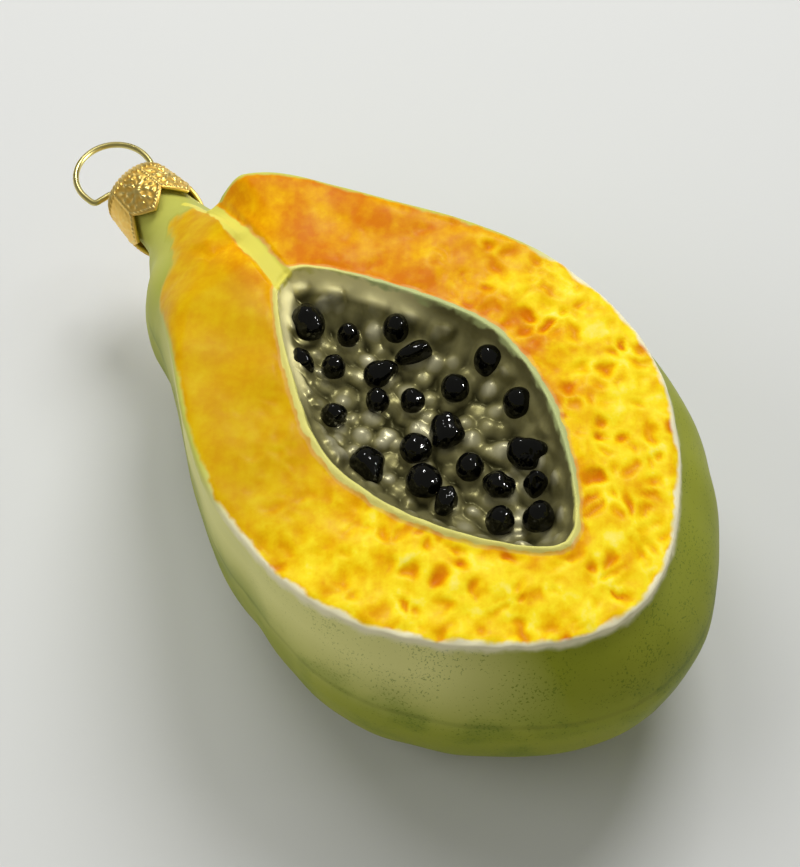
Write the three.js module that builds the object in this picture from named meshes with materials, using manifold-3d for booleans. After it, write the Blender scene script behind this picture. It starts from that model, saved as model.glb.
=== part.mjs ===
// A mould-blown glass hanging ornament in the form of a halved papaya, lying on its rounded back.
// Millimetres. X runs across, +Y towards the neck and its ring, +Z out of the cut face.
// While it is modelled, the cut face is the plane z = 0 and y = 0 is the blossom end of the painted
// flesh. At the end the whole ornament is moved so that the origin is under its middle at the base.
import * as THREE from "three";
import Module from "manifold-3d";
import { mergeVertices } from "three/addons/utils/BufferGeometryUtils.js";

const wasm = await Module();
wasm.setup();

// Driving dimensions of the glass body
const SEAM_DEPTH = 15;          // from the cut face down to the mould's parting line
const BACK_DEPTH = 24;          // from the parting line down to the lowest point of the rounded back
const FULL = 0.6;               // 1 gives the back an elliptic section, less gives a fuller one
const REST = { x: -0.6, y: 42, r: 6 };        // small flat that the back rests on
const GLASS = 1.0;              // wall of the blown shell
const RIM = 0.9;                // the rounded rim's width outside the flesh
const SIDE_SPREAD = 1.7;        // how far the parting line stands outside the flesh at the sides
const END_SPREAD = 7.9;         // and at the blossom end, which bulges
const LEAN = 0.8;               // the bulge leans this far to the right
const PIT_DEPTH = 0.5;          // of the pits between the raised net on the face
const CAVITY_DEPTH = 6.6;       // of the seed cavity below the face
const LIP_RISE = 0.6;           // raised lip around the cavity
const BAND = { x: -1.4, half: 1.6, depth: 1.3, start: 66 };   // groove from the cavity to the neck
const CENTRE = { x: -0.9, y: 40 };            // the rays that lay out the face start here

// Half widths of the flesh's outline and of the cavity along the face
const FLESH = [[0.1, 0], [0.45, 3.2], [1.5, 6.4], [3.2, 9.7], [5.6, 13.1], [8.6, 16.6], [12, 20.1], [16, 23.2], [20, 25.9],
  [24, 27.8], [28, 29.1], [32, 29.8], [36, 30.1], [40, 29.9], [44, 29.6], [48, 28.8], [52, 27.5], [56, 25.8], [60, 23.9],
  [64, 21.6], [68, 19.2], [72, 16.9], [76, 14.5], [80, 12.1], [83, 9.7], [85, 7.1], [86, 4.6], [86.4, 0]];
const CAVITY = [[12.5, 0], [13.2, 1.8], [15, 3.9], [20, 7.7], [25, 10.6], [30, 12.8], [35, 14.1], [41, 14.7],
  [46, 13.8], [50, 12.2], [55, 9.8], [60, 7.2], [65, 3.9], [67, 2], [67.8, 0]];

// Seeds as blown into the cavity: x, y, length, width, turn in degrees
const SEEDS = [[-1.9, 62.2, 5.3, 5.0, 89], [1.2, 57.0, 3.2, 2.9, 138], [6.7, 53.3, 3.7, 3.7, 138],
  [6.1, 48.8, 5.1, 3.2, 156], [-6.8, 57.7, 3.6, 3.4, 138], [-3.7, 54.5, 3.4, 3.1, 152],
  [0.6, 49.5, 5.1, 3.4, 159], [12.7, 40.7, 4.3, 4.3, 138], [6.6, 40.9, 4.0, 4.0, 138],
  [-2.7, 46.5, 3.3, 3.3, 138], [0.9, 43.3, 3.4, 3.2, 138], [11.0, 33.1, 4.3, 4.1, 138],
  [-8.9, 48.4, 3.7, 3.3, 150], [1.0, 36.7, 5.1, 4.6, 7], [-10.3, 39.5, 5.4, 4.7, 75],
  [-3.8, 37.5, 4.3, 4.3, 138], [-6.3, 33.0, 5.0, 4.8, 138], [-0.3, 30.5, 3.8, 3.8, 138],
  [6.6, 26.9, 5.1, 4.4, 138], [0.7, 25.8, 4.3, 3.9, 116], [4.0, 22.5, 3.2, 2.9, 161],
  [-3.0, 21.7, 3.9, 3.9, 138], [1.0, 18.7, 4.4, 4.0, 160], [-6.2, 28.7, 4.1, 2.9, 21]];
// Bare lumps of glass between the seeds: x, y, radius
const LUMPS = [[9.2, 46.0, 2.0], [1.6, 53.3, 1.7], [-8.6, 53.2, 1.6], [-9.5, 43.7, 2.0], [5.6, 34.6, 2.1], [8.9, 37.2, 1.6],
  [-11.3, 33.6, 1.6], [-8.3, 27.2, 1.7], [2.6, 62.3, 1.4], [0.9, 21.6, 1.3], [-1.2, 57.8, 1.5], [-1.0, 40.0, 1.2]];

// Neck, cap and hanger, on one axis along Y
const AXIS = { x: -0.5, z: -17.5 };
const NECK = [[80, 14.4], [83, 13], [86, 11], [88, 9.2], [90, 7.5], [92.3, 6.1], [95.5, 5.4], [99.5, 4.9], [104.3, 4.6]];
const NECK_WALL = 0.9;
const CAP = { turn: 0.141, base: 96.5, notch: 99.35, shoulder: 104.6, top: 106.3, wall: 0.45, petals: 6 };
const RING = { x: -0.7, y: 109.7, radius: 5.9, wire: 0.475 };
const LEG = { hole: 2.75, y: 88, spread: 3.3 };

// Deterministic value between -1 and 1 for a whole number
const noise = (n) => {
  const s = Math.sin(n * 127.1 + 311.7) * 43758.5453;
  return 2 * (s - Math.floor(s)) - 1;
};
const clamp = (v, a = 0, b = 1) => Math.min(b, Math.max(a, v));
const smooth = (a, b, v) => {
  const t = clamp((v - a) / (b - a));
  return t * t * (3 - 2 * t);
};

// Closed outline, symmetric about a line, from a table of half widths, as dense points
function outline(table, axisX) {
  const half = new THREE.CatmullRomCurve3(table.map(([y, w]) => new THREE.Vector3(w, y, 0)), false, "centripetal").getPoints(240);
  const right = half.map((p) => [axisX + p.x, p.y]);
  const left = half.map((p) => [axisX - p.x, p.y]).reverse();
  return right.concat(left.slice(1, -1));
}

// Radius of an outline along each ray from CENTRE, as a function of the ray's angle
function rayTable(points) {
  const polar = points.map(([x, y]) => [Math.atan2(y - CENTRE.y, x - CENTRE.x), Math.hypot(x - CENTRE.x, y - CENTRE.y)])
    .sort((a, b) => a[0] - b[0]);
  const first = polar[0], last = polar[polar.length - 1];
  const ring = [[last[0] - 2 * Math.PI, last[1]], ...polar, [first[0] + 2 * Math.PI, first[1]]];
  return (angle) => {
    const a = Math.atan2(Math.sin(angle), Math.cos(angle));
    let lo = 0, hi = ring.length - 1;
    while (hi - lo > 1) {
      const mid = (lo + hi) >> 1;
      if (ring[mid][0] <= a) lo = mid; else hi = mid;
    }
    const t = clamp((a - ring[lo][0]) / (ring[hi][0] - ring[lo][0] || 1));
    return ring[lo][1] + t * (ring[hi][1] - ring[lo][1]);
  };
}
const fleshRadius = rayTable(outline(FLESH, -0.7));
const cavityRadius = rayTable(outline(CAVITY, -0.4));

// Angle of a ray: t = 0 is the stem end, and rays crowd together there for the band's groove
const rayAngle = (t) => Math.PI / 2 - 2 * Math.PI * (t - (0.3 / (2 * Math.PI)) * Math.sin(2 * Math.PI * t)
  - (0.3 / (4 * Math.PI)) * Math.sin(4 * Math.PI * t));

const onRay = (radius, t, out = 0) => {
  const a = rayAngle(t), r = radius(a) + out;
  return [CENTRE.x + r * Math.cos(a), CENTRE.y + r * Math.sin(a)];
};

// Outward normal of the flesh's outline in plan, by differences
function fleshNormal(t) {
  const [x0, y0] = onRay(fleshRadius, t - 0.004), [x1, y1] = onRay(fleshRadius, t + 0.004);
  const l = Math.hypot(x1 - x0, y1 - y0);
  return [-(y1 - y0) / l, (x1 - x0) / l];
}

// Groove of the stem band, as a depth at a place on the face
const bandDepth = (x, y) => y < BAND.start ? 0
  : BAND.depth * clamp((1.45 - Math.abs(x - BAND.x) / BAND.half) * 1.8) * smooth(BAND.start, BAND.start + 3, y);

// Side wall below a ray's rim: distance out from the flesh's outline, and height, at six levels k.
// Most of the rim is a tight round. The left lobe slopes softly down to the neck instead.
const LEVELS = [[0, 0], [0.65, -0.3], [1, -1.3], [1, -5], [1, -9.5], [1, -SEAM_DEPTH]];
const SOFT = [[-5, -0.15], [-1.6, -1.5], [0.7, -4], [2.1, -7.6], [2.8, -11.2], [2.8, -SEAM_DEPTH]];
function wall(t, k) {
  const soft = smooth(0.13, 0.03, Math.abs(t - 0.955));
  const [nx, ny] = fleshNormal(t);
  const endward = (Math.sqrt(ny * ny + 0.01) - ny) / 2;
  const spread = SIDE_SPREAD + (END_SPREAD - SIDE_SPREAD) * (1 - clamp(1 - endward) ** 1.8)
    + LEAN * nx * clamp(1.5 * endward) - 0.5 * smooth(0.05, 0.6, ny) + 1.2 * smooth(0.75, 1, ny);
  const bulge = 1 - (1 - clamp((-LEVELS[k][1] - 1.3) / (SEAM_DEPTH - 1.3))) ** 1.8;
  const crisp = RIM * LEVELS[k][0] + (spread - RIM) * bulge;
  const out = crisp * (1 - soft) + SOFT[k][0] * soft;
  const z = LEVELS[k][1] * (1 - soft) + SOFT[k][1] * soft;
  const [x, y] = onRay(fleshRadius, t);
  return [x + nx * out, y + ny * out, z - bandDepth(x, y) * smooth(-SEAM_DEPTH, 0, z)];
}

// A ring of the shell: n points, turned by a share of a step
const ring = (n, offset, place) => Array.from({ length: n }, (_, i) => {
  const t = (i + offset) / n;
  return { t, p: place(t, i) };
});

// Closed surface from a chain of rings, with a single point at each end
function skin(start, rings, end) {
  const position = [], index = [];
  const put = (p) => position.push(...p) / 3 - 1;
  const first = put(start);
  const ids = rings.map((r) => r.map((v) => ({ t: v.t, id: put(v.p) })));
  const last = put(end);
  const fan = (r, tip, flip) => r.forEach((v, i) => {
    const w = r[(i + 1) % r.length];
    index.push(...(flip ? [tip, v.id, w.id] : [tip, w.id, v.id]));
  });
  fan(ids[0], first, false);
  for (let k = 0; k + 1 < ids.length; k++) stitch(ids[k], ids[k + 1], index);
  fan(ids[ids.length - 1], last, true);
  return solid(position, index);
}

// Triangles between two rings, which may have different counts
function stitch(a, b, index) {
  const A = a.concat([{ t: a[0].t + 1, id: a[0].id }]), B = b.concat([{ t: b[0].t + 1, id: b[0].id }]);
  let i = 0, j = 0;
  while (i < a.length || j < b.length) {
    const stepA = j >= b.length || (i < a.length && A[i + 1].t + A[i].t <= B[j + 1].t + B[j].t);
    if (stepA) {
      index.push(A[i].id, A[i + 1].id, B[j].id);
      i++;
    } else {
      index.push(A[i].id, B[j + 1].id, B[j].id);
      j++;
    }
  }
}

// Solid from positions and triangles, turned the right way out if need be
function solid(position, index) {
  const v = new Float32Array(position);
  let volume = 0;
  const a = new THREE.Vector3(), b = new THREE.Vector3(), c = new THREE.Vector3();
  for (let k = 0; k < index.length; k += 3) {
    a.fromArray(v, index[k] * 3);
    b.fromArray(v, index[k + 1] * 3);
    c.fromArray(v, index[k + 2] * 3);
    volume += a.dot(b.cross(c));
  }
  const tri = volume > 0 ? index : index.map((_, k) => index[k - (k % 3) + [0, 2, 1][k % 3]]);
  return new wasm.Manifold(new wasm.Mesh({ numProp: 3, vertProperties: v, triVerts: new Uint32Array(tri) }));
}

// Solid from a closed three.js geometry
function solidOf(geometry) {
  geometry.deleteAttribute("normal");
  geometry.deleteAttribute("uv");
  const g = mergeVertices(geometry, 1e-4);
  return solid(Array.from(g.attributes.position.array), Array.from(g.index.array));
}

function meshOf(body, name, look) {
  const m = body.getMesh();
  const g = new THREE.BufferGeometry();
  g.setAttribute("position", new THREE.BufferAttribute(new Float32Array(m.vertProperties), 3));
  g.setIndex(new THREE.BufferAttribute(new Uint32Array(m.triVerts), 1));
  g.computeVertexNormals();
  const mesh = new THREE.Mesh(g, new THREE.MeshStandardMaterial(look));
  mesh.name = name;
  return mesh;
}

// Outer skin of the shell
const RAYS = 108, STEPS = 8;
function outerSkin() {
  const rings = [];
  const floorZ = -CAVITY_DEPTH;
  const inCavity = (f, z) => (t) => {
    const [x, y] = onRay(cavityRadius, t);
    const my = 39 + (y - 39) * 0.62;
    return [x + (-0.5 - x) * f, y + (my - y) * f, z];
  };
  rings.push(ring(18, 0, inCavity(0.72, floorZ + 0.15)));
  rings.push(ring(30, 0.5, inCavity(0.4, floorZ + 0.4)));
  rings.push(ring(42, 0, inCavity(0.12, floorZ + 2)));
  rings.push(ring(54, 0.5, inCavity(0.04, floorZ + 3.9)));
  rings.push(ring(72, 0, inCavity(0.0, -0.6)));
  rings.push(ring(RAYS, 0.5, (t) => lip(t, 0.45, LIP_RISE)));
  rings.push(ring(RAYS, 0, (t) => lip(t, 1.5, 0)));
  for (let i = 1; i <= STEPS; i++) rings.push(ring(RAYS, i % 2 ? 0.5 : 0, (t, j) => faceVertex(t, i, j)));
  for (let k = 1; k < LEVELS.length; k++) {
    const n = k < 3 ? RAYS : 72;
    rings.push(ring(n, k % 2 ? 0.5 : 0, (t) => wall(t, k)));
  }
  for (let k = 1; k < 8; k++) rings.push(ring(k < 5 ? 54 : 36, k % 2 ? 0.5 : 0, (t) => back(t, k / 8, 0)));
  const base = -SEAM_DEPTH - BACK_DEPTH;
  rings.push(ring(24, 0, (t) => {
    const a = rayAngle(t);
    return [REST.x + REST.r * Math.cos(a), REST.y + REST.r * Math.sin(a), base];
  }));
  return skin([-0.5, 39, floorZ + 0.3], rings, [REST.x, REST.y, base]);
}

const lip = (t, out, rise) => {
  const [x, y] = onRay(cavityRadius, t, out);
  const open = smooth(BAND.half + 1, BAND.half - 0.2, Math.abs(x - BAND.x)) * smooth(62, 66, y);
  return [x, y, rise * (1 - open) - bandDepth(x, y)];
};

// Vertex of the painted face: the net is a honeycomb whose cells are pits, strong at the blossom end
// and on the right, and gone towards the stem
function faceVertex(t, i, j) {
  const edge = i === STEPS;
  const n = noise(i * 577 + j), m = noise(i * 881 + j * 3 + 7);
  const tt = t + (edge ? 0 : 0.24 * n / RAYS);
  const g = edge ? 1 : (i + 0.24 * m) / STEPS;
  const [x0, y0] = onRay(cavityRadius, tt, 1.5);
  const [x1, y1, z1] = wall(tt, 0);
  const x = x0 + (x1 - x0) * g, y = y0 + (y1 - y0) * g;
  const pit = !edge && ((j - Math.floor(i / 2) - i) % 3 + 3) % 3 === 0;
  const fade = smooth(74, 36, y - 0.5 * x);
  return [x, y, z1 * g - (pit ? PIT_DEPTH * (0.8 + 0.35 * n) * fade : 0) - bandDepth(x, y)];
}

// Rounded back, from the parting line (u = 0) towards the flat it rests on (u = 1)
function back(t, u, inset) {
  const [sx, sy] = wall(t, LEVELS.length - 1);
  const a = rayAngle(t);
  const bx = REST.x + REST.r * Math.cos(a), by = REST.y + REST.r * Math.sin(a);
  const c = Math.cos(u * Math.PI / 2) ** FULL, s = Math.sin(u * Math.PI / 2);
  const reach = Math.hypot(sx - REST.x, sy - REST.y);
  const k = 1 - inset / reach;
  return [bx + (sx - bx) * c * k, by + (sy - by) * c * k, -SEAM_DEPTH - (BACK_DEPTH - inset) * s];
}

// Hollow inside the shell: the same surfaces, coarser and one wall further in
function innerSkin() {
  const N = 48, rings = [];
  const under = (f, z) => (t) => {
    const [x, y] = onRay(cavityRadius, t, GLASS);
    const my = 39 + (y - 39) * 0.62;
    return [x + (-0.5 - x) * f, y + (my - y) * f, z];
  };
  const clearOfBand = (x, y) => (BAND.depth + 0.5) * smooth(9, 5, Math.abs(x - BAND.x)) * smooth(58, 63, y);
  const top = (out, z) => (t) => {
    const [x, y] = onRay(cavityRadius, t, out);
    return [x, y, z - clearOfBand(x, y)];
  };
  const inside = (k, extra) => (t) => {
    const [x, y, z] = wall(t, k);
    const [nx, ny] = fleshNormal(t);
    return [x - nx * (GLASS + extra), y - ny * (GLASS + extra), Math.min(z, -GLASS - 0.4 - clearOfBand(x, y))];
  };
  rings.push(ring(18, 0, under(0.6, -CAVITY_DEPTH - GLASS)));
  rings.push(ring(30, 0.5, under(0.12, -CAVITY_DEPTH - GLASS)));
  rings.push(ring(36, 0, under(0, -CAVITY_DEPTH + 0.6)));
  rings.push(ring(N, 0.5, top(1.9, -GLASS - 1)));
  rings.push(ring(N, 0, top(3.2, -GLASS - 0.4)));
  rings.push(ring(N, 0.5, inside(0, 3)));
  rings.push(ring(N, 0, inside(1, 0.6)));
  for (let k = 3; k < LEVELS.length; k++) rings.push(ring(N, k % 2 ? 0.5 : 0, inside(k, 0.1)));
  for (let k = 1; k < 6; k++) rings.push(ring(k < 4 ? N : 30, k % 2 ? 0 : 0.5, (t) => back(t, k / 6, GLASS)));
  const base = -SEAM_DEPTH - BACK_DEPTH + GLASS;
  rings.push(ring(18, 0, (t) => {
    const a = rayAngle(t);
    return [REST.x + REST.r * 0.9 * Math.cos(a), REST.y + REST.r * 0.9 * Math.sin(a), base];
  }));
  return skin([-0.5, 39, -CAVITY_DEPTH - GLASS], rings, [REST.x, REST.y, base]);
}

// Body of revolution about the neck's axis: pairs of y and radius, closed at both ends
function turned(pairs, sides) {
  const profile = [new THREE.Vector2(0, pairs[0][0]), ...pairs.map(([y, r]) => new THREE.Vector2(r, y)),
    new THREE.Vector2(0, pairs[pairs.length - 1][0])];
  const g = new THREE.LatheGeometry(profile, sides);
  g.translate(AXIS.x, 0, AXIS.z);
  return solidOf(g);
}

function ellipsoid(x, y, z, a, b, c, turn, detail) {
  const g = new THREE.IcosahedronGeometry(1, detail);
  g.scale(a, b, c);
  g.rotateZ(turn);
  g.translate(x, y, z);
  return solidOf(g);
}

function glassBody() {
  let body = outerSkin().add(turned(NECK, 28));
  const hollow = innerSkin().add(turned(NECK.map(([y, r], i) => [i === NECK.length - 1 ? y + 2 : y, r - NECK_WALL - (y < 88 ? 0.5 : 0)]), 20));
  body = body.subtract(hollow);
  const floor = -CAVITY_DEPTH;
  for (const [x, y, long, wide, turn] of SEEDS) {
    const share = Math.hypot(x - CENTRE.x, y - CENTRE.y) / cavityRadius(Math.atan2(y - CENTRE.y, x - CENTRE.x));
    const rise = 0.8 * smooth(0.5, 0.95, share);      // seeds stand taller where the floor curves up to its wall
    body = body.add(ellipsoid(x, y, floor + 1.9 + rise, long / 2, wide / 2, 2.2 + rise, THREE.MathUtils.degToRad(turn), 1));
  }
  for (const [x, y, r] of LUMPS) body = body.add(ellipsoid(x, y, floor + 0.2, r, r, 1.1, 0, 1));
  return body;
}

// Crown cap: a thin bell whose rim ends in pointed petals, with an embossed flower on each
function capBody() {
  const n = CAP.petals * 14;
  const radiusAt = (y) => {
    const t = clamp((CAP.shoulder - y) / (CAP.shoulder - CAP.base));
    return 5.45 + 0.95 * t ** 0.7;
  };
  const across = (t) => (((((t + CAP.turn) * CAP.petals) % 1) + 1) % 1 - 0.5) * 2;   // -1 to 1 over one petal
  const lower = (t) => CAP.notch + (CAP.base - CAP.notch) * (1 - Math.abs(across(t))) ** 0.75;
  const emboss = (t, v) => {
    const p = across(t);
    const d = Math.hypot(p * 3.3, (v - 0.55) * 8);
    return 0.22 * Math.cos(d * 2.1) * clamp(1.4 - d / 3);
  };
  const point = (r, t, y) => {
    const a = 2 * Math.PI * t;
    return [AXIS.x + r * Math.sin(a), y, AXIS.z + r * Math.cos(a)];
  };
  const rows = 5, rings = [];
  rings.push(ring(n / 2, 0, (t) => point(3.7, t, CAP.top)));
  rings.push(ring(n, 0, (t, i) => point(4.35 + 0.1 * (i % 2), t, CAP.top - 0.25)));
  rings.push(ring(n, 0, (t, i) => point(5.05 + 0.16 * (i % 2), t, CAP.top - 0.95)));
  for (let k = 0; k <= rows; k++) rings.push(ring(n, 0, (t) => {
    const y = CAP.shoulder + (lower(t) - CAP.shoulder) * k / rows;
    return point(radiusAt(y) + (k && k < rows ? emboss(t, k / rows) : 0), t, y);
  }));
  for (let k = rows; k >= 0; k -= 1.25) rings.push(ring(n / (k === rows ? 1 : 2), 0, (t) => {
    const y = CAP.shoulder + (lower(t) - CAP.shoulder) * k / rows;
    return point(radiusAt(y) - CAP.wall - 0.05, t, y);
  }));
  rings.push(ring(n / 2, 0, (t) => point(3.6, t, CAP.top - CAP.wall)));
  let cap = skin([AXIS.x, CAP.top, AXIS.z], rings, [AXIS.x, CAP.top - CAP.wall, AXIS.z]);
  for (const side of [-1, 1]) {
    const g = new THREE.CylinderGeometry(1, 1, 3, 12);
    g.translate(AXIS.x + side * LEG.hole, CAP.top - 0.3, AXIS.z);
    cap = cap.subtract(solidOf(g));
  }
  return cap;
}

// Spring wire: up from one leg, around the ring and down the other
function hangerBody() {
  const points = [];
  const add = (x, y) => points.push(new THREE.Vector3(AXIS.x + x, y, AXIS.z));
  const side = (sign, list) => list.forEach(([x, y, aside]) => add(sign * x + aside, y));
  // x, y and how far both legs lean towards the ring's side
  const leg = [[LEG.spread - 0.35, LEG.y, 0], [2.6, LEG.y + 5, 0], [2.1, CAP.top - 7, 0], [LEG.hole - 0.45, CAP.top - 1, 0],
    [3.1, CAP.top + 0.75, -0.2], [4.3, CAP.top + 0.95, -0.5]];
  side(-1, leg);
  for (let a = -22; a <= 202; a += 16) {
    const r = THREE.MathUtils.degToRad(180 - a);
    add(RING.x + Math.cos(r) * RING.radius, RING.y + Math.sin(r) * RING.radius);
  }
  side(1, leg.reverse());
  const path = new THREE.CatmullRomCurve3(points, false, "centripetal");
  const section = new THREE.Shape();
  section.absarc(0, 0, RING.wire, 0, 2 * Math.PI, false);
  const g = new THREE.ExtrudeGeometry(section, { extrudePath: path, steps: 72, curveSegments: 4, bevelEnabled: false });
  return solidOf(g);
}

const ornament = new THREE.Group();
ornament.add(meshOf(glassBody(), "glass_body", { color: 0xe2a52a, roughness: 0.25, metalness: 0.0 }));
ornament.add(meshOf(capBody(), "cap", { color: 0xb8903a, roughness: 0.3, metalness: 1.0 }));
ornament.add(meshOf(hangerBody(), "hanger_wire", { color: 0xb5a85a, roughness: 0.25, metalness: 1.0 }));

const box = new THREE.Box3().setFromObject(ornament, true);
const middle = box.getCenter(new THREE.Vector3());
ornament.children.forEach((m) => m.geometry.translate(-middle.x, -middle.y, -box.min.z));

export default ornament;
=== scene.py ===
import math

import bmesh
import bpy
import numpy as np
from mathutils import Matrix, Vector
from mathutils.kdtree import KDTree


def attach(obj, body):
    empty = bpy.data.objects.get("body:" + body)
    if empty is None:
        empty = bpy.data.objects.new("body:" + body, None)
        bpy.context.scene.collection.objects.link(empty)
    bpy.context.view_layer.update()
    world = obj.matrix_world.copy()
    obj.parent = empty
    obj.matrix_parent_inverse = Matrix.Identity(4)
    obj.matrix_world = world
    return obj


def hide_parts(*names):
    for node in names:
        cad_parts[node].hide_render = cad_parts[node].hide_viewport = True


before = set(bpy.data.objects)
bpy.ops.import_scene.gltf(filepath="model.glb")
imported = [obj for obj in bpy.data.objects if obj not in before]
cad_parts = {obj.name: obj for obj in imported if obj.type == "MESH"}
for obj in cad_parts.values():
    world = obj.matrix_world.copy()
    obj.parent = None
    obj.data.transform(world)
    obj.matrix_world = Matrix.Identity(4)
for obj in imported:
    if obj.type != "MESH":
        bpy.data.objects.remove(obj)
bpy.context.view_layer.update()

# ---------------------------------------------------------------------------------------------
# Glass body. One gather of clear glass, blown into a two-part mould and silvered inside. The cut
# face with its raised net, the sunken seed cavity and the stem's groove come from the mould.
# Sizes are millimetres from the blossom end (y) and the cut face (z = 0), x across the face.
# ---------------------------------------------------------------------------------------------
TO_ROW = np.array([0.405, -54.185, 39.0])
FACE_CENTRE = np.array([-0.9, 40.0])
SEAM_DEPTH, BACK_DEPTH, BACK_FULLNESS = 15.0, 24.0, 0.58
REST_X, REST_Y, REST_RADIUS = -0.6, 42.0, 6.0
RIM_WIDTH, SIDE_SPREAD, END_SPREAD, LEAN = 0.9, 1.7, 7.9, 0.8
CAVITY_DEPTH, LIP_RISE, NET_DEPTH, NET_CELL = 6.6, 0.6, 0.42, 2.8
BAND_X, BAND_HALF, BAND_DEPTH, BAND_START = -1.4, 1.35, 0.9, 66.0
NECK_X, NECK_Z = -0.5, -17.5

# half widths of the painted flesh and of the seed cavity, each at its distance from the blossom end
flesh_widths = [(0.1, 0), (0.45, 3.2), (1.5, 6.4), (3.2, 9.7), (5.6, 13.1), (8.6, 16.6), (12, 20.1),
                (16, 23.2), (20, 25.9), (24, 27.8), (28, 29.1), (32, 29.8), (36, 30.1), (40, 29.9),
                (44, 29.6), (48, 28.8), (52, 27.5), (56, 25.8), (60, 23.9), (64, 21.6), (68, 19.2),
                (72, 16.9), (76, 14.5), (80, 12.1), (83, 9.7), (85, 7.1), (86, 4.6), (86.4, 0)]
cavity_widths = [(12.5, 0), (13.2, 1.8), (15, 3.9), (20, 7.7), (25, 10.6), (30, 12.8), (35, 14.1),
                 (41, 14.7), (46, 13.8), (50, 12.2), (55, 9.8), (60, 7.2), (65, 3.9), (67, 2), (67.8, 0)]
# seeds as they lie in the cavity: x, y, length, width, turn in degrees
seed_places = [(-1.9, 62.2, 5.3, 5.0, 89), (1.2, 57.0, 3.2, 2.9, 138), (6.7, 53.3, 3.7, 3.7, 138),
               (6.1, 48.8, 5.1, 3.2, 156), (-6.8, 57.7, 3.6, 3.4, 138), (-3.7, 54.5, 3.4, 3.1, 152),
               (0.6, 49.5, 5.1, 3.4, 159), (12.7, 40.7, 4.3, 4.3, 138), (6.6, 40.9, 4.0, 4.0, 138),
               (-2.7, 46.5, 3.3, 3.3, 138), (0.9, 43.3, 3.4, 3.2, 138), (11.0, 33.1, 4.3, 4.1, 138),
               (-8.9, 48.4, 3.7, 3.3, 150), (1.0, 36.7, 5.1, 4.6, 7), (-10.3, 39.5, 5.4, 4.7, 75),
               (-3.8, 37.5, 4.3, 4.3, 138), (-6.3, 33.0, 5.0, 4.8, 138), (-0.3, 30.5, 3.8, 3.8, 138),
               (6.6, 26.9, 5.1, 4.4, 138), (0.7, 25.8, 4.3, 3.9, 116), (4.0, 22.5, 3.2, 2.9, 161),
               (-3.0, 21.7, 3.9, 3.9, 138), (1.0, 18.7, 4.4, 4.0, 160), (-6.2, 28.7, 4.1, 2.9, 21)]


def ease(start, end, value):
    """0 before start, 1 after end, and a soft step between them."""
    t = np.clip((value - start) / (end - start), 0, 1)
    return t * t * (3 - 2 * t)


def bend_through(points, shares):
    """A soft curve through rows of points, read at the given shares of each span between two rows."""
    p = np.concatenate([2 * points[:1] - points[1:2], points, 2 * points[-1:] - points[-2:-1]])
    rows = []
    for a, b, c, d, share in zip(p, p[1:], p[2:], p[3:], shares):
        u, v, w = (np.maximum(np.linalg.norm(q - r, axis=-1, keepdims=True), 1e-6) ** 0.5
                   for q, r in ((b, a), (c, b), (d, c)))
        start = v * ((b - a) / u - (c - a) / (u + v) + (c - b) / v)
        end = v * ((c - b) / v - (d - b) / (v + w) + (d - c) / w)
        square, cube = 3 * (c - b) - 2 * start - end, start + end - 2 * (c - b)
        rows += [b + start * s + square * s ** 2 + cube * s ** 3 for s in share]
    return np.array(rows)


def parts(count):
    """The shares at which a span is cut into equal parts, without its end."""
    return np.linspace(0, 1, count + 1)[:-1]


def reach_of(widths, middle_x):
    """How far an outline lies from the face's centre, for any direction."""
    half = bend_through(np.array([(w, y) for y, w in widths], float), [np.linspace(0, 1, 12)] * (len(widths) - 1))
    line = np.concatenate([half, half[::-1] * (-1, 1)]) + (middle_x, 0) - FACE_CENTRE
    angle, reach = np.arctan2(line[:, 1], line[:, 0]), np.hypot(line[:, 0], line[:, 1])
    return lambda a: np.interp(a, angle, reach, period=2 * math.pi)


def ripple(x, y, size, seed, waves=9):
    """Smooth unevenness between about -1 and 1, with bumps of the given size."""
    rng = np.random.default_rng(seed)
    headings = rng.uniform(0, math.tau, waves)
    lengths = rng.uniform(0.75, 1.5, waves)
    phases = rng.uniform(0, math.tau, waves)
    total = 0
    for heading, length, phase in zip(headings, lengths, phases):
        k = math.pi / (size * length)
        total = total + np.sin(k * (x * math.cos(heading) + y * math.sin(heading)) + phase)
    return total / waves ** 0.5 / 1.4


flesh_reach, cavity_reach = reach_of(flesh_widths, -0.7), reach_of(cavity_widths, -0.4)
COLUMNS, FLOOR_ROWS, FACE_ROWS = 520, 43, 35
turn = np.arange(COLUMNS + 1) / COLUMNS
turn[-1] = 0     # the last column is the first again
ray = math.pi / 2 - 2 * math.pi * (turn - 0.3 / (2 * math.pi) * np.sin(2 * math.pi * turn)
                                   - 0.3 / (4 * math.pi) * np.sin(4 * math.pi * turn))
ray_direction = np.stack([np.cos(ray), np.sin(ray)], axis=1)
flesh_edge = FACE_CENTRE + ray_direction * flesh_reach(ray)[:, None]
cavity_edge = FACE_CENTRE + ray_direction * cavity_reach(ray)[:, None]
along = np.roll(flesh_edge[:-1], -3, axis=0) - np.roll(flesh_edge[:-1], 3, axis=0)
along /= np.linalg.norm(along, axis=1, keepdims=True)
outward = np.stack([-along[:, 1], along[:, 0]], axis=1)
outward = np.concatenate([outward, outward[:1]])


def band_x(y):
    """The band's middle, which drifts to the right on its way to the cap."""
    return BAND_X + 0.125 * np.clip(y - 68, 0, 25)


def band_groove(x, y, z):
    depth = (0.55 + (BAND_DEPTH - 0.55) * ease(72, 82, y)) * ease(1.55, 0.75, np.abs(x - band_x(y)) / BAND_HALF)
    return depth * ease(BAND_START, BAND_START + 3, y) * ease(-SEAM_DEPTH, 0, z)


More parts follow.
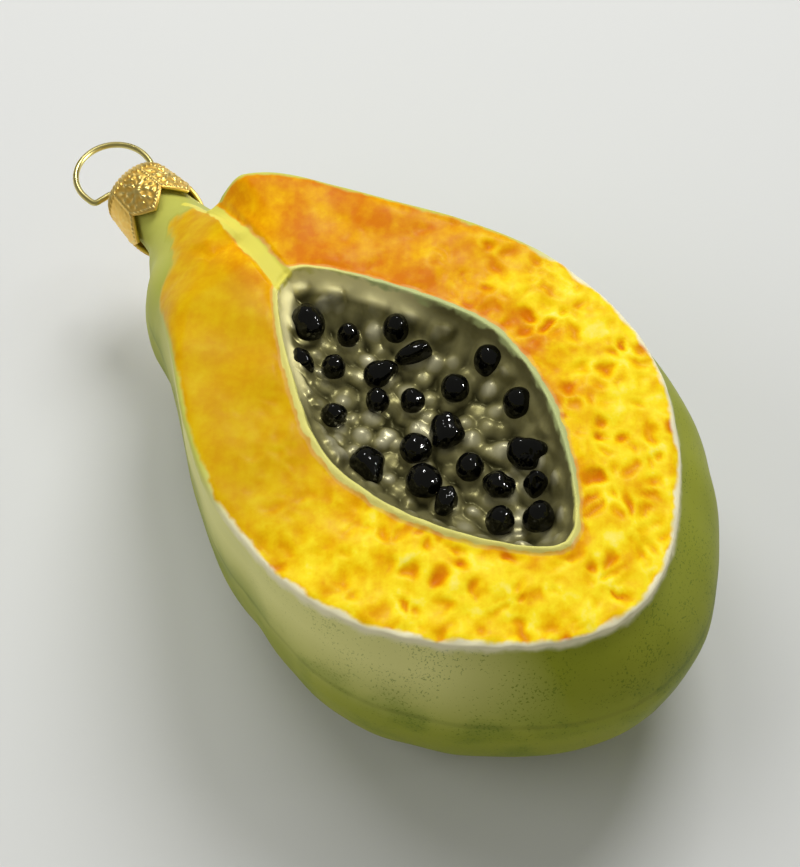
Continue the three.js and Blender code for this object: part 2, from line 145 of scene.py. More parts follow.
# the side wall from the flesh's edge down to the mould's parting line, and the back below it
nx, ny = outward[:, 0], outward[:, 1]
endward = (np.sqrt(ny * ny + 0.01) - ny) / 2          # 1 at the blossom end, 0 along the sides and the stem end
spread = SIDE_SPREAD + (END_SPREAD - SIDE_SPREAD) * (1 - np.clip(1 - endward, 0, 1) ** 1.8)
spread = spread + LEAN * nx * np.clip(1.5 * endward, 0, 1) - 0.5 * ease(0.05, 0.6, ny)
spread += 1.2 * ease(0.75, 1, ny) * ease(1.0, -2.0, flesh_edge[:, 0])
# the edge is crisp all round but for one stretch, left of the neck, where it is rounded off
soft_side = (1 - ease(0.03, 0.13, np.abs(turn - 0.955))) * ease(1.0, 0.975, turn)
crisp_levels = [(0, 0), (0.65, -0.3), (1, -1.3), (1, -5), (1, -9.5), (1, -SEAM_DEPTH)]
soft_levels = [(-5, -0.15), (-1.6, -1.5), (0.7, -4), (2.1, -7.6), (2.8, -11.2), (2.8, -SEAM_DEPTH)]
wall_rows = []
for (share, z), (soft_out, soft_z) in zip(crisp_levels, soft_levels):
    bulge = 1 - (1 - np.clip((-z - 1.3) / (SEAM_DEPTH - 1.3), 0, 1)) ** 1.8
    out = (RIM_WIDTH * share + (spread - RIM_WIDTH) * bulge) * (1 - soft_side) + soft_out * soft_side
    depth = z * (1 - soft_side) + soft_z * soft_side
    wall_rows.append(np.column_stack([flesh_edge + outward * out[:, None], depth]))
rest_line = np.array([REST_X, REST_Y]) + REST_RADIUS * ray_direction
flattening = (BACK_FULLNESS - 0.2 * endward - 0.12 * np.clip(-nx, 0, 1))[:, None]
back_rows = []
for u in np.linspace(0, 1, 9)[1:]:
    reach = math.cos(u * math.pi / 2) ** flattening if u < 1 else 0
    flat = rest_line + (wall_rows[-1][:, :2] - rest_line) * reach
    depth = -SEAM_DEPTH - BACK_DEPTH * math.sin(u * math.pi / 2)
    back_rows.append(np.column_stack([flat, np.full(COLUMNS + 1, depth)]))

# the cavity, its lip and the face, from the middle outwards
lip_profile = [(-5.6, -CAVITY_DEPTH + 0.5), (-3.4, -CAVITY_DEPTH + 1.3), (-1.7, -CAVITY_DEPTH + 2.7),
               (-0.56, -CAVITY_DEPTH + 4.5), (0, -0.6), (0.45, LIP_RISE), (1.5, 0)]
towards_stem = ray_direction @ np.array([0.3, 0.95])
stem_slope = 1 + 0.3 * ease(0.35, 1.0, towards_stem)          # the wall leans back at the stem end
lip_rows = [np.column_stack([cavity_edge + ray_direction * (out * np.where(out < -0.1, stem_slope, 1))[:, None],
                             np.full(COLUMNS + 1, z)]) for out, z in lip_profile]
middle = np.column_stack([np.tile(FACE_CENTRE, (COLUMNS + 1, 1)), np.full(COLUMNS + 1, -CAVITY_DEPTH)])
even = [parts(4)]
floor_part = [middle + (lip_rows[0] - middle) * s for s in parts(FLOOR_ROWS)]
lip_part = bend_through(np.array(lip_rows), [parts(7)] * 2 + [parts(6)] + even * 3)
face_part = [lip_rows[-1] + (wall_rows[0] - lip_rows[-1]) * s for s in parts(FACE_ROWS)]
wall_steps = even * 4 + [[0, 0.2, 0.4, 0.6, 0.8, 0.92]]          # closer together at the parting line
back_steps = [[0, 0.08, 0.25, 0.5, 0.75]] + even * 6 + [[0, 0.3, 0.6, 0.85, 1]]
outer_part = bend_through(np.array([face_part[-3]] + wall_rows + back_rows), [[]] + wall_steps + back_steps)
last = outer_part[-1]
rest_spot = [last * (0.5, 0.5, 1) + (REST_X / 2, REST_Y / 2, 0), last * (0, 0, 1) + (REST_X, REST_Y, 0)]
rows = np.concatenate([floor_part, lip_part, face_part, outer_part, rest_spot])
n_floor, n_lip, n_face = len(floor_part), len(lip_part), len(face_part)

# distances along the skin that the paint follows: from the cavity's edge and from the flesh's edge
cavity_mm = np.linalg.norm(rows[..., :2] - FACE_CENTRE, axis=-1) - cavity_reach(ray)
steps = np.linalg.norm(np.diff(rows, axis=0), axis=-1)
walked = np.concatenate([np.zeros((1, COLUMNS + 1)), np.cumsum(steps, axis=0)])
rim_mm = walked - walked[n_floor + n_lip + n_face] - 6.5 * soft_side
x, y, z = rows[..., 0].copy(), rows[..., 1].copy(), rows[..., 2].copy()

# the net: uneven cells of 2 to 4 mm whose borders stand up, strong at the blossom end, gone at the stem
rng = np.random.default_rng(11)
cell_points = []
for j, cy in enumerate(np.arange(-6, 96, NET_CELL * 0.87)):
    for cx in np.arange(-40 + (j % 2) * NET_CELL / 2, 40, NET_CELL):
        if rng.random() > 0.2:
            off_x, off_y = rng.uniform(-1, 1) * NET_CELL * 0.42, rng.uniform(-1, 1) * NET_CELL * 0.42
            cell_points.append((cx + off_x, cy + off_y, 0))
cells = KDTree(len(cell_points))
for i, point in enumerate(cell_points):
    cells.insert(point, i)
cells.balance()
cell_tone = rng.random(len(cell_points))
warp_x = x + 0.9 * ripple(x, y, 3.1, 1) + 0.28 * ripple(x, y, 1.1, 12)
warp_y = y + 0.9 * ripple(x, y, 3.1, 2) + 0.28 * ripple(x, y, 1.1, 13)
ridge, tone, pit = np.zeros(x.shape), np.zeros(x.shape), np.zeros(x.shape)
for i in range(n_floor + n_lip - 3, n_floor + n_lip + n_face + 6):
    for j in range(COLUMNS + 1):
        (_, a, da), (_, b, db) = cells.find_n((warp_x[i, j], warp_y[i, j], 0), 2)
        blend = 0.5 * math.exp(-((db - da) / 0.5) ** 2)      # a cell's tone runs softly into the next
        ridge[i, j] = math.exp(-((db - da) / 1.6) ** 2)
        tone[i, j] = cell_tone[a] * (1 - blend) + cell_tone[b] * blend
        pit[i, j] = float(ease(0.66 * NET_CELL, 0.1 * NET_CELL, da)) * (1 - 0.6 * ridge[i, j])
ridge *= np.clip(0.62 + 0.7 * ripple(x, y, 2.6, 14), 0.0, 1)
net = 1 - ease(26, 70, y - 0.4 * x + 3.0 * ripple(x, y, 8, 15))
pits = NET_DEPTH * (pit * (0.15 + 0.95 * tone) - 0.12 * ridge) * (0.06 + 0.94 * net)
swell = 0.18 * ripple(x, y, 4.5, 3) + 0.07 * ripple(x, y, 1.9, 4) * net
open_face = ease(1.4, 3.0, cavity_mm) * ease(0.4, -0.7, rim_mm)
z -= open_face * (pits - swell)
in_line = ease(BAND_HALF + 1, BAND_HALF - 0.2, np.abs(x - band_x(y))) * ease(62, 66, y)
lip_zone = ease(-0.6, 0.2, cavity_mm) * ease(1.5, 0.9, cavity_mm)
z -= lip_zone * LIP_RISE * in_line
z -= band_groove(x, y, rows[..., 2]) * ease(-0.2, 0.4, cavity_mm)
z += 0.14 * ripple(x, y, 1.5, 5) * lip_zone

# lumps on the cavity's floor: small ones of bare glass, and one under each seed
lump_points = [(px + rng.uniform(-1, 1), py + rng.uniform(-1, 1), rng.uniform(1.3, 2.1), rng.uniform(0.5, 1.35))
               for px in np.arange(-15, 15, 2.7) for py in np.arange(10, 70, 2.7)]
lump_points += [(sx, sy, 0.42 * long + 0.9, 1.2) for sx, sy, long, wide, _ in seed_places]
floor_zone = ease(-0.2, -1.2, cavity_mm)
lumps = np.zeros(x.shape)
bowl = slice(0, n_floor + n_lip)
for px, py, radius, height in lump_points:
    away = np.clip(1 - ((x[bowl] - px) ** 2 + (y[bowl] - py) ** 2) / radius ** 2, 0, 1)
    lumps[bowl] = np.maximum(lumps[bowl], height * away ** 0.8)
for _ in range(3):        # the glass rounds off the creases between the lumps
    around = lumps[:-2, 1:-1] + lumps[2:, 1:-1] + lumps[1:-1, :-2] + lumps[1:-1, 2:]
    lumps[1:-1, 1:-1] = (lumps[1:-1, 1:-1] * 2 + around) / 6
    lumps[:, 0] = lumps[:, -1] = lumps[:, 1]
z += floor_zone * (lumps + 0.12 * ripple(x, y, 1.3, 6))
sideways = 0.8 * floor_zone * lumps * ease(-4.2, -1.4, cavity_mm)          # on the wall they stand out sideways
x, y = x - ray_direction[:, 0] * sideways, y - ray_direction[:, 1] * sideways

# the blown rind is a little uneven, and so is the rim at the blossom end
inward = ease(1.5, 4, rim_mm) * ease(-39, -33, z) * (0.14 * ripple(x + y, z, 6, 7) - 0.14)
from_centre = rows[..., :2] - FACE_CENTRE
flat_out = from_centre / np.maximum(np.linalg.norm(from_centre, axis=-1, keepdims=True), 1)
x, y = x + flat_out[..., 0] * inward, y + flat_out[..., 1] * inward
z += 0.22 * ripple(x, y, 2.0, 8) * ease(-1.2, 0, rim_mm) * ease(2.0, 0.6, rim_mm) * ease(-0.6, 0.6, -ny)

# the left lobe slopes down to the neck, and the skin is raised where the two meet
BLEND_REACH, BLEND_SHARE, BLEND_PASSES = 7.0, 0.7, 45
NECK_CREST, NECK_STEPS, BLOSSOM_END = -12, 112, -7.7
neck_profile = np.array([(80, 14.4), (83, 13), (86, 11), (88, 9.2), (90, 7.5), (92.3, 6.1), (95.5, 5.4),
                         (99.5, 4.9), (104.3, 4.6)], float)


def blend_out(x, y, z):
    """How far a point on one of the two skins moves out, by its distance from the neck's surface."""
    gap = np.abs(np.hypot(x - NECK_X, z - NECK_Z) - np.interp(y, neck_profile[:, 0], neck_profile[:, 1]))
    left_lobe_end = ease(0.4, -2.6, x - band_x(y) + BAND_X) * ease(74, 82, y) * ease(96, 91, y)
    return BLEND_REACH / 4 * np.clip(1 - gap / BLEND_REACH, 0, 1) ** 2 * left_lobe_end


aside = x - band_x(y)
stoop = 0.85 * ease(73, 92, y) * ease(5.5, 0.5, aside) * (0.5 + 0.5 * ease(1.2, -1.5, aside))
z = np.where(z > NECK_CREST, NECK_CREST + (z - NECK_CREST) * (1 - stoop), z)
z = np.clip(z, -SEAM_DEPTH - BACK_DEPTH, LIP_RISE)
raised = blend_out(x, y, z) * (rim_mm > -8)
neck_way = np.stack([x - NECK_X, 0 * x, z - NECK_Z], axis=-1)
neck_way /= np.maximum(np.linalg.norm(neck_way, axis=-1, keepdims=True), 1e-6)
x = x + raised * neck_way[..., 0] * BLEND_SHARE
y = np.maximum(y + raised * BLEND_SHARE, BLOSSOM_END)
z = z + raised * neck_way[..., 2] * BLEND_SHARE


def make_object(bm, name):
    """Turns a finished bmesh into an object of the scene, at the origin."""
    mesh = bpy.data.meshes.new(name)
    bm.to_mesh(mesh)
    bm.free()
    thing = bpy.data.objects.new(name, mesh)
    bpy.context.scene.collection.objects.link(thing)
    return thing


def turned(bm, outline, steps):
    """A closed shape turned about the y axis from an outline of bmesh points."""
    edges = [bm.edges.new(pair) for pair in zip(outline, outline[1:])]
    bmesh.ops.spin(bm, geom=outline + edges, cent=(0, 0, 0), axis=(0, 1, 0), angle=math.tau, steps=steps,
                   use_merge=True, use_duplicate=False)


# a flat grid is bent to that shape, and its seam and its two poles are closed
bm = bmesh.new()
bmesh.ops.create_grid(bm, x_segments=COLUMNS, y_segments=len(rows) - 1, size=1)
for v in bm.verts:
    i = round((v.co.y + 1) / 2 * (len(rows) - 1))
    j = round((v.co.x + 1) / 2 * COLUMNS)
    v.co = ((x[i, j] + TO_ROW[0]) / 1000, (y[i, j] + TO_ROW[1]) / 1000, (z[i, j] + TO_ROW[2]) / 1000)
bmesh.ops.remove_doubles(bm, verts=bm.verts, dist=2e-6)
bmesh.ops.recalc_face_normals(bm, faces=bm.faces)
skin = make_object(bm, "glass_body_skin")

# the neck, drawn out of the stem end; the real one is open, which the cap hides, so it is closed here
neck_line = bend_through(neck_profile[:, ::-1], even * 7 + [np.linspace(0, 1, 5)])
neck_line = [(0, neck_line[0][1])] + [tuple(point) for point in neck_line] + [(0, neck_line[-1][1])]
bm = bmesh.new()
turned(bm, [bm.verts.new((r / 1000, along_mm / 1000, 0)) for r, along_mm in neck_line], NECK_STEPS)
bmesh.ops.remove_doubles(bm, verts=bm.verts, dist=1e-7)
bmesh.ops.recalc_face_normals(bm, faces=bm.faces)
for v in bm.verts:
    radius = math.hypot(v.co.x, v.co.z) * 1000
    if radius > 1:
        out = float(blend_out(v.co.x * 1000 + NECK_X, v.co.y * 1000, v.co.z * 1000 + NECK_Z))
        out *= float(ease(-4, 2, v.co.z * 1000))
        v.co.x, v.co.z = v.co.x * (1 + out / radius), v.co.z * (1 + out / radius)
bmesh.ops.translate(bm, verts=bm.verts, vec=(TO_ROW + (NECK_X, 0, NECK_Z)) / 1000)
neck = make_object(bm, "neck")

union = skin.modifiers.new("join_neck", "BOOLEAN")
union.object, union.operation, union.solver = neck, "UNION", "EXACT"
shape = bpy.data.meshes.new_from_object(skin.evaluated_get(bpy.context.evaluated_depsgraph_get()))
for spare in (skin, neck):
    bpy.data.objects.remove(spare)
shape.name = "glass_body_painted"
glass_body = bpy.data.objects.new("glass_body_painted", shape)
bpy.context.scene.collection.objects.link(glass_body)

# each point of the joined body takes its paint distances from the nearest point of the bent grid
grid_tree = KDTree(x.size)
for i, point in enumerate(np.column_stack([x.ravel(), y.ravel(), z.ravel()])):
    grid_tree.insert(point, i)
grid_tree.balance()
bm = bmesh.new()
bm.from_mesh(shape)
meeting = []
for v in bm.verts:
    p = np.array(v.co) * 1000 - TO_ROW
    axis_gap = math.hypot(p[0] - NECK_X, p[2] - NECK_Z)
    neck_radius = np.interp(p[1], neck_profile[:, 0], neck_profile[:, 1])
    at_neck = abs(axis_gap - neck_radius) < 1.2 and grid_tree.find(p)[2] < 1.6
    on_left_lobe = p[0] < band_x(p[1]) - 1.2 and p[2] > -15
    if 79 < p[1] < 93 and (at_neck or on_left_lobe):
        meeting.append(v)
for _ in range(BLEND_PASSES):
    bmesh.ops.smooth_vert(bm, verts=meeting, factor=0.5, use_axis_x=True, use_axis_y=True, use_axis_z=True)
bm.to_mesh(shape)
bm.free()
co = np.empty(len(shape.vertices) * 3)
shape.vertices.foreach_get("co", co)
co = co.reshape(-1, 3) * 1000 - TO_ROW
px, py, pz = co.T
nearest = np.array([grid_tree.find(p)[1] for p in co])
column = nearest % (COLUMNS + 1)


def at_points(grid):
    """A value of the bent grid, at each point of the joined body."""
    return grid.ravel()[nearest]


lip_at, rim_at = at_points(cavity_mm), at_points(rim_mm)
# the band is painted narrower towards the neck, and not below its start or on the back
band_mm = np.abs(px - band_x(py)) + 0.35 * ease(67, 72, py) + 0.5 * ease(78, 88, py)
band_mm += 20 * (1 - ease(BAND_START - 8, BAND_START - 3, py)) + 20 * ease(-12, -15, pz)
# where the airbrush laid orange: right of the cavity, the upper right rim, left of the band, the
# upper right half in two soft steps, and a thin line round the lip
ripe = np.maximum.reduce([0.95 * ease(9, 3.2, lip_at) * ease(-4, 3, px) * ease(18, 36, py),
                          0.8 * ease(-8, -2, rim_at) * ease(48, 60, py) * ease(-1, 4, px),
                          0.6 * ease(5, 0, np.abs(px + 5.0)) * ease(58, 72, py) * ease(87, 80, py),
                          0.55 * ease(30, 50, py - 0.3 * px) * ease(-6, 0, px),
                          0.8 * ease(42, 56, py) * ease(-2, 6, px),
                          0.35 * ease(7, 1.5, lip_at)])
left_lobe = ease(0.2, -1.0, px - band_x(py)) * ease(77, 84, py)
ripe *= np.clip(0.9 + 0.4 * ripple(px, py, 4.0, 31), 0.4, 1.15) * (1 - 0.8 * left_lobe)
ripe *= 1 - 0.25 * ease(8, 3, np.abs(px - 4)) * ease(70, 78, py)
# on the slope to the neck the flesh paint ends along lines of its own, not at the grid's edge
shoulder = ease(79, 84, py) * ease(0.2, -1.0, px - band_x(py) + BAND_X) * ease(-16, -14, pz)
shoulder_mm = np.maximum(py - 90.8, -px - (8.6 - 0.7 * (py - 82))) + 1.2
paint_fields = {
    "cavity_mm": lip_at,
    "rim_mm": (rim_at + 7 * ease(86.0, 88.5, py)) * (1 - shoulder) + shoulder_mm * shoulder,
    "band_mm": band_mm,
    "ridge": at_points(ridge),
    "pit": at_points(pit),
    "tone": at_points(tone),
    "net": at_points(net),
    "ripe": ripe,
    "height": at_points(lumps * floor_zone),
    "wall_mm": at_points(rows[..., 2] + CAVITY_DEPTH),
    "soft": np.maximum(soft_side[column], shoulder),
    "creamy": ease(0.4, 0.0, ny)[column],
    # the left lobe and upper left are dulled: partly amber paint, partly painted shade
    "amber_and_painted_shade": np.maximum(ease(-2, -8, px) * ease(30, 48, py), left_lobe),
}
for name, values in paint_fields.items():
    shape.attributes.new(name, "FLOAT", "POINT").data.foreach_set("value", values.astype(np.float32))
shape.polygons.foreach_set("use_smooth", np.ones(len(shape.polygons), bool))


def colour(hex_code):
    """An sRGB hex colour as linear values."""
    values = [int(hex_code[i:i + 2], 16) / 255 for i in (1, 3, 5)]
    return [c / 12.92 if c <= 0.04045 else ((c + 0.055) / 1.055) ** 2.4 for c in values] + [1.0]


def add(tree, kind, inputs=None, stops=None, **settings):
    """Adds one node with its settings; an input is a value, or another node's output to link."""
    node = tree.nodes.new(kind)
    for name, value in settings.items():
        setattr(node, name, value)
    for key, value in (inputs or {}).items():
        if isinstance(value, bpy.types.NodeSocket):
            tree.links.new(value, node.inputs[key])
        else:
            node.inputs[key].default_value = value
    if stops:
        ramp = node.color_ramp
        while len(ramp.elements) < len(stops):
            ramp.elements.new(1)
        for element, (place, paint) in zip(ramp.elements, stops):
            element.position, element.color = place, paint
    return node


def start_material(name):
    """A new material, its empty tree, and the place on the object in millimetres."""
    material = bpy.data.materials.new(name)
    material.use_nodes = True
    tree = material.node_tree
    tree.nodes.clear()
    where = add(tree, "ShaderNodeTexCoord").outputs["Object"]
    return material, tree, add(tree, "ShaderNodeVectorMath", {0: where, 1: (1000, 1000, 1000)},
                               operation="MULTIPLY").outputs[0]


# Painted glass: opaque lacquers sprayed and brushed over the silvered shell, under a thin clear
# coat. The eye gets a satin skin, a little sharper and part metal in the bare silvered cavity.
RIND_PATCH_MM, STIPPLE_MM, CLOUD_MM, BLOTCH_MM, WOBBLE_MM, SILVER_MM = 14.3, 0.3846, 6.25, 2.38, 2.5, 2.222
SEAM_HEIGHT_MM = 26.2          # the parting line's height above the table
soft_step = {"interpolation_type": "SMOOTHSTEP"}
painted_glass, tree, mm = start_material("lacquered_blown_glass")
field = {name: add(tree, "ShaderNodeAttribute", attribute_name=name).outputs["Fac"] for name in paint_fields}
place = add(tree, "ShaderNodeSeparateXYZ", {0: mm})

# rind: olive green, paler under the rim, darker stipple towards the blossom end and the parting line
rind_patch = add(tree, "ShaderNodeTexNoise", {"Vector": mm, "Scale": 1 / RIND_PATCH_MM, "Detail": 3.0,
                                              "Roughness": 0.5}).outputs["Fac"]
rind = add(tree, "ShaderNodeMix", {0: rind_patch, 6: colour("#8C9624"), 7: colour("#A8AB36")},
           data_type="RGBA").outputs[2]
pale = add(tree, "ShaderNodeMapRange", {0: field["rim_mm"], 1: 1.5, 2: 19.0, 3: 0.8, 4: 0.0},
           **soft_step).outputs[0]
# the left side is paler still: partly pale paint, partly painted light
left_paler_and_painted_light = add(tree, "ShaderNodeMapRange", {0: place.outputs["X"], 1: -12.0, 2: -25.0, 3: 0.0,
                                             4: 1.5}).outputs[0]
pale = add(tree, "ShaderNodeMath", {0: pale, 1: left_paler_and_painted_light}, operation="MULTIPLY").outputs[0]
rind = add(tree, "ShaderNodeMix", {0: pale, 6: rind, 7: colour("#E2DF90")}, data_type="RGBA").outputs[2]
fine = add(tree, "ShaderNodeTexNoise", {"Vector": mm, "Scale": 1 / STIPPLE_MM, "Detail": 2.0,
                                        "Roughness": 0.7}).outputs["Fac"]
cloud = add(tree, "ShaderNodeTexNoise", {"Vector": mm, "Scale": 1 / CLOUD_MM, "Detail": 2.0}).outputs["Fac"]
speck_limit = add(tree, "ShaderNodeMapRange", {0: cloud, 1: 0.35, 2: 0.65, 3: 0.66, 4: 0.55}).outputs[0]
speck = add(tree, "ShaderNodeMath", {0: fine, 1: speck_limit}, operation="SUBTRACT").outputs[0]
speck = add(tree, "ShaderNodeMapRange", {0: speck, 1: 0.0, 2: 0.05}, **soft_step).outputs[0]
blossom = add(tree, "ShaderNodeMapRange", {0: place.outputs["Y"], 1: -12.0, 2: -46.0, 3: 0.0,
                                           4: 0.6}).outputs[0]
speck = add(tree, "ShaderNodeMath", {0: speck, 1: blossom}, operation="MULTIPLY").outputs[0]
rind = add(tree, "ShaderNodeMix", {0: speck, 6: rind, 7: colour("#5A7318")}, data_type="RGBA").outputs[2]
mottle_zone = add(tree, "ShaderNodeMapRange", {0: place.outputs["Z"], 1: 33.0, 2: 25.0}, **soft_step).outputs[0]
mottle = add(tree, "ShaderNodeMapRange", {0: cloud, 1: 0.42, 2: 0.66, 3: 0.0, 4: 0.55}, **soft_step).outputs[0]
mottle = add(tree, "ShaderNodeMath", {0: mottle, 1: mottle_zone}, operation="MULTIPLY").outputs[0]
mottle = add(tree, "ShaderNodeMath", {0: mottle, 1: 0.6}, operation="MULTIPLY").outputs[0]
rind = add(tree, "ShaderNodeMix", {0: mottle, 6: rind, 7: colour("#5F7A12")}, data_type="RGBA").outputs[2]
seam_gap = add(tree, "ShaderNodeMath", {0: place.outputs["Z"], 1: SEAM_HEIGHT_MM},
               operation="SUBTRACT").outputs[0]
seam_gap = add(tree, "ShaderNodeMath", {0: seam_gap}, operation="ABSOLUTE").outputs[0]
seam = add(tree, "ShaderNodeMapRange", {0: seam_gap, 1: 0.15, 2: 0.8, 3: 0.45, 4: 0.0}, **soft_step).outputs[0]
seam = add(tree, "ShaderNodeMath", {0: seam, 1: cloud}, operation="MULTIPLY").outputs[0]
rind = add(tree, "ShaderNodeMix", {0: seam, 6: rind, 7: colour("#55641A")}, data_type="RGBA").outputs[2]

# flesh: the raised net is sprayed lemon, the pits are orange, and airbrushed patches run to deep orange
blotch = add(tree, "ShaderNodeTexNoise", {"Vector": mm, "Scale": 1 / BLOTCH_MM, "Detail": 3.0,
                                          "Roughness": 0.62}).outputs["Fac"]
strokes = add(tree, "ShaderNodeVectorRotate", {"Vector": mm, "Angle": math.radians(42)},
              rotation_type="Z_AXIS").outputs[0]
brushed_at = add(tree, "ShaderNodeVectorMath", {0: strokes, 1: (1.0, 0.16, 1.0)},
                 operation="MULTIPLY").outputs[0]
brushed = add(tree, "ShaderNodeTexNoise", {"Vector": brushed_at, "Scale": 1 / BLOTCH_MM, "Detail": 3.0,
                                           "Roughness": 0.6}).outputs["Fac"]
ridge_amount = add(tree, "ShaderNodeMath", {0: field["ridge"], 1: field["net"]},
                   operation="MULTIPLY").outputs[0]
level = add(tree, "ShaderNodeMath", {0: ridge_amount, 1: 0.26, 2: 0.4}, operation="MULTIPLY_ADD").outputs[0]
level = add(tree, "ShaderNodeMath", {0: blotch, 1: 0.8, 2: level}, operation="MULTIPLY_ADD").outputs[0]
level = add(tree, "ShaderNodeMath", {0: brushed, 1: 0.4, 2: level}, operation="MULTIPLY_ADD").outputs[0]
level = add(tree, "ShaderNodeMath", {0: field["net"], 1: 0.12, 2: level}, operation="MULTIPLY_ADD").outputs[0]
level = add(tree, "ShaderNodeMath", {0: level, 1: 0.55}, operation="SUBTRACT").outputs[0]
pit_tone = add(tree, "ShaderNodeMath", {0: field["tone"], 1: 1.5}, operation="POWER").outputs[0]
pit_tone = add(tree, "ShaderNodeMath", {0: pit_tone, 1: field["pit"]}, operation="MULTIPLY").outputs[0]
pit_tone = add(tree, "ShaderNodeMath", {0: pit_tone, 1: field["net"]}, operation="MULTIPLY").outputs[0]
level = add(tree, "ShaderNodeMath", {0: pit_tone, 1: -0.7, 2: level}, operation="MULTIPLY_ADD").outputs[0]
level = add(tree, "ShaderNodeMath", {0: field["ripe"], 1: -0.42, 2: level}, operation="MULTIPLY_ADD",
            use_clamp=True).outputs[0]
flesh_stops = [(0.0, colour("#D87A00")), (0.18, colour("#E09200")), (0.36, colour("#EBAA02")),
               (0.56, colour("#F6CA0A")), (0.78, colour("#FFE524")), (1.0, colour("#FFEE6E"))]
flesh = add(tree, "ShaderNodeValToRGB", {0: level}, stops=flesh_stops).outputs[0]
# darker amber over the left lobe and upper left: partly amber paint, partly painted shade
amber_and_painted_shade = add(tree, "ShaderNodeMath", {0: field["amber_and_painted_shade"], 1: 0.6}, operation="MULTIPLY").outputs[0]
flesh = add(tree, "ShaderNodeMix", {0: amber_and_painted_shade, 6: flesh, 7: colour("#BC9204")}, data_type="RGBA").outputs[2]

# cream rim between flesh and rind, and plain olive paint on the neck
wobble = add(tree, "ShaderNodeTexNoise", {"Vector": mm, "Scale": 1 / WOBBLE_MM, "Detail": 2.0}).outputs["Fac"]
wobble = add(tree, "ShaderNodeMath", {0: wobble, 1: 0.5}, operation="SUBTRACT").outputs[0]
rim_shift = add(tree, "ShaderNodeMath", {0: wobble, 1: 1.8, 2: field["rim_mm"]},
                operation="MULTIPLY_ADD").outputs[0]
streaky = add(tree, "ShaderNodeMath", {0: brushed, 1: field["soft"]}, operation="MULTIPLY").outputs[0]
rim_shift = add(tree, "ShaderNodeMath", {0: streaky, 1: -3.0, 2: rim_shift},
                operation="MULTIPLY_ADD").outputs[0]
cream_end = add(tree, "ShaderNodeMath", {0: field["soft"], 1: 2.5, 2: 0.5}, operation="MULTIPLY_ADD").outputs[0]
to_cream = add(tree, "ShaderNodeMapRange", {0: rim_shift, 1: -0.2, 2: cream_end}, **soft_step).outputs[0]
to_rind = add(tree, "ShaderNodeMapRange", {0: rim_shift, 1: 0.9, 2: 2.3}, **soft_step).outputs[0]
cream = add(tree, "ShaderNodeMix", {0: field["creamy"], 6: colour("#C6C75C"), 7: colour("#F5EEC8")},
            data_type="RGBA").outputs[2]
cream = add(tree, "ShaderNodeMix", {0: field["soft"], 6: cream, 7: colour("#BDBE62")},
            data_type="RGBA").outputs[2]
skin_paint = add(tree, "ShaderNodeMix", {0: to_cream, 6: flesh, 7: cream}, data_type="RGBA").outputs[2]
skin_paint = add(tree, "ShaderNodeMix", {0: to_rind, 6: skin_paint, 7: rind}, data_type="RGBA").outputs[2]
neck_part = add(tree, "ShaderNodeMapRange", {0: place.outputs["Y"], 1: 24.0, 2: 34.0}, **soft_step).outputs[0]
neck_part = add(tree, "ShaderNodeMath", {0: neck_part, 1: to_rind}, operation="MULTIPLY").outputs[0]
skin_paint = add(tree, "ShaderNodeMix", {0: neck_part, 6: skin_paint, 7: colour("#B7B857")},
                 data_type="RGBA").outputs[2]

# lip: a line of pale lemon, greener on the right, with a thin peach line outside it
lip_wave = add(tree, "ShaderNodeMath", {0: wobble, 1: 1.2, 2: field["cavity_mm"]},
               operation="MULTIPLY_ADD").outputs[0]
peach = add(tree, "ShaderNodeMapRange", {0: lip_wave, 1: 1.9, 2: 1.45, 3: 0.0, 4: 0.35}, **soft_step).outputs[0]
skin_paint = add(tree, "ShaderNodeMix", {0: peach, 6: skin_paint, 7: colour("#E8BC7C")},
                 data_type="RGBA").outputs[2]
to_lip = add(tree, "ShaderNodeMapRange", {0: lip_wave, 1: 1.35, 2: 1.05}, **soft_step).outputs[0]
mint = add(tree, "ShaderNodeMapRange", {0: place.outputs["X"], 1: 3.0, 2: 9.0}, **soft_step).outputs[0]
lip_paint = add(tree, "ShaderNodeMix", {0: mint, 6: colour("#E2DC7E"), 7: colour("#BCC686")},
                data_type="RGBA").outputs[2]
skin_paint = add(tree, "ShaderNodeMix", {0: to_lip, 6: skin_paint, 7: lip_paint}, data_type="RGBA").outputs[2]

# cavity: bare silvered glass, painted highlight on the domes, painted shade in the creases, cream over the upper
# wall
in_cavity = add(tree, "ShaderNodeMapRange", {0: lip_wave, 1: 0.35, 2: 0.0}, **soft_step).outputs[0]
silver_patch = add(tree, "ShaderNodeTexNoise", {"Vector": mm, "Scale": 1 / SILVER_MM,
                                                "Detail": 4.0}).outputs["Fac"]
silver = add(tree, "ShaderNodeMix", {0: silver_patch, 6: colour("#686236"), 7: colour("#A29C6C")},
             data_type="RGBA").outputs[2]
# painted highlight: the tops of the lumps are lightened towards pale pewter
painted_dome_highlight = add(tree, "ShaderNodeMapRange", {0: field["height"], 1: 0.65, 2: 1.25, 3: 0.0, 4: 0.75}).outputs[0]
silver = add(tree, "ShaderNodeMix", {0: painted_dome_highlight, 6: silver, 7: colour("#CBC6A6")}, data_type="RGBA").outputs[2]
